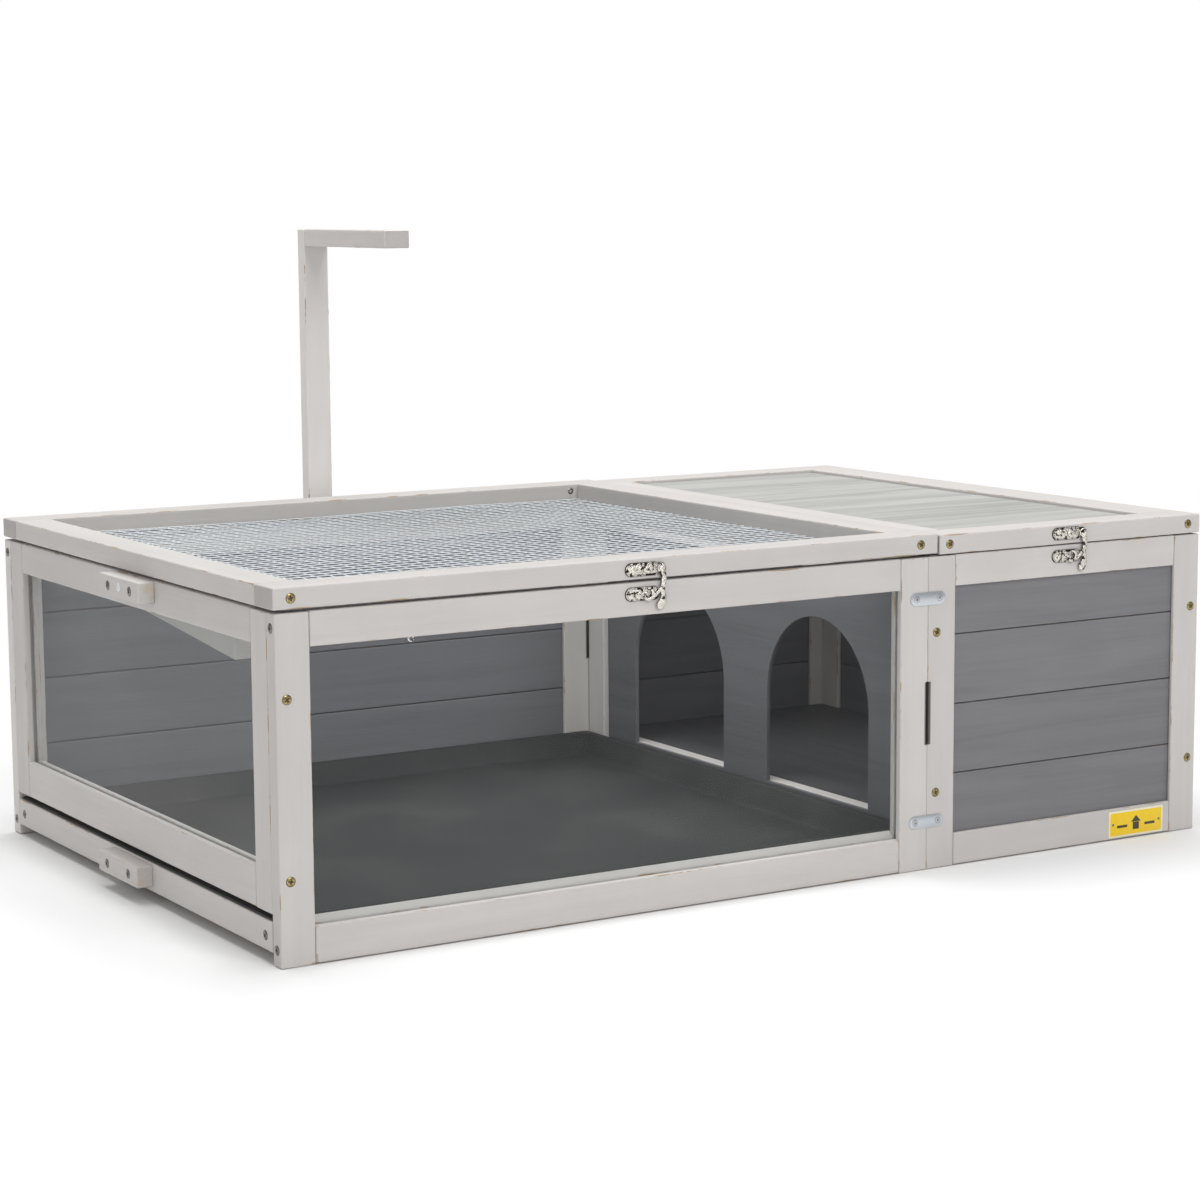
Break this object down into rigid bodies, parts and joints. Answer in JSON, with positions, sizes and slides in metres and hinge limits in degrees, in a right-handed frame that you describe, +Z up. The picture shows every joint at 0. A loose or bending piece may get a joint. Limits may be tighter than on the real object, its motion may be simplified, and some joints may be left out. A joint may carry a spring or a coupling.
{
  "type": "rabbit hutch",
  "caption": "Low wooden pet house with a glazed run under a mesh lid, a planked sleeping box behind arched doorways, a pull-out tray and a lamp post.",
  "frame": {"origin": "middle of the whole object's box, at the surface it stands on", "axes": "+X along the length, from the run towards the sleeping house; +Y from the front to the back, where the lid hinges and the lamp post are; +Z up"},
  "size_m": [0.9666, 0.6434, 0.568],
  "materials": {
    "grey_timber": "satin grey paint, grain showing",
    "slate_planks": "matt slate grey paint, grain showing",
    "lid_boards": "thin pale grey stain",
    "bare_wood": "sanded, lightly stained",
    "clear_pane": "clear acrylic sheet",
    "tray_plastic": "fine-grained black",
    "mesh_wire": "galvanised",
    "nickel": "nickel plated casting",
    "zinc": "bright zinc plated",
    "grey_screw": "dull zinc plated",
    "brass_screw": "yellow zinc plated",
    "label_yellow": "printed metal plate, no lettering"
  },
  "bodies": {
    "body": {"run_front_left_stile": "grey_timber", "run_front_right_stile": "grey_timber", "run_front_top_rail": "grey_timber", "run_front_bottom_rail": "grey_timber", "run_front_pane": "clear_pane", "run_side_stiles": "grey_timber", "run_side_rails": "grey_timber", "run_side_pane": "clear_pane", "inner_batten": "grey_timber", "carry_handle": "bare_wood", "carry_handle_screws": "grey_screw", "run_back_stiles": "grey_timber", "run_back_rails": "grey_timber", "run_back_planks": "slate_planks", "divider_stiles": "grey_timber", "divider_rails": "grey_timber", "divider_panel": "slate_planks", "house_front_left_stile": "grey_timber", "house_front_right_stile": "grey_timber", "house_front_top_rail": "grey_timber", "house_front_bottom_rail": "grey_timber", "house_front_planks": "slate_planks", "house_side_stiles": "grey_timber", "house_side_rails": "grey_timber", "house_side_planks": "slate_planks", "house_back_stiles": "grey_timber", "house_back_rails": "grey_timber", "house_back_planks": "slate_planks", "house_floor": "slate_planks", "tray_runners": "bare_wood", "latch_keepers": "nickel", "hinge_fixed_leaves": "zinc", "hinge_pins": "zinc", "joining_straps": "zinc", "frame_screws": "brass_screw", "end_screws": "grey_screw", "label_plate": "label_yellow", "lamp_post": "grey_timber", "lamp_arm": "grey_timber", "lamp_spacers": "grey_timber"},
    "tray": {"drawer_front": "grey_timber", "drawer_rails": "bare_wood", "drawer_bottom": "bare_wood", "drawer_handle": "bare_wood", "drawer_screws": "grey_screw", "run_liner": "tray_plastic"},
    "run_lid": {"run_lid_long_rails": "grey_timber", "run_lid_side_rails": "grey_timber", "run_lid_mesh": "mesh_wire", "run_lid_screws": "brass_screw", "run_latch_plate": "nickel", "run_lid_hinge_leaves": "zinc"},
    "house_lid": {"house_lid_long_rails": "grey_timber", "house_lid_side_rails": "grey_timber", "house_lid_boards": "lid_boards", "house_lid_screws": "brass_screw", "house_latch_plate": "nickel", "house_lid_hinge_leaves": "zinc"},
    "run_latch": {"run_latch_hook": "nickel"},
    "house_latch": {"house_latch_hook": "nickel"}
  },
  "joints": [
    {"name": "run_lid_hinge", "type": "hinge", "parent": "body", "child": "run_lid", "pos_m": [-0.1502, 0.2869, 0.28325], "axis": [-1, 0, 0], "range_deg": [0, 57]},
    {"name": "house_lid_hinge", "type": "hinge", "parent": "body", "child": "house_lid", "pos_m": [0.3293, 0.2869, 0.2825], "axis": [-1, 0, 0], "range_deg": [0, 190]},
    {"name": "run_latch_swing", "type": "hinge", "parent": "run_lid", "child": "run_latch", "pos_m": [-0.1152, -0.31915, 0.2927], "axis": [0, -1, 0], "range_deg": [0, 100]},
    {"name": "house_latch_swing", "type": "hinge", "parent": "house_lid", "child": "house_latch", "pos_m": [0.3393, -0.31915, 0.2927], "axis": [0, -1, 0], "range_deg": [0, 100]},
    {"name": "tray_slide", "type": "slide", "parent": "body", "child": "tray", "axis": [-1, 0, 0], "range_m": [0, 0.55]}
  ]
}
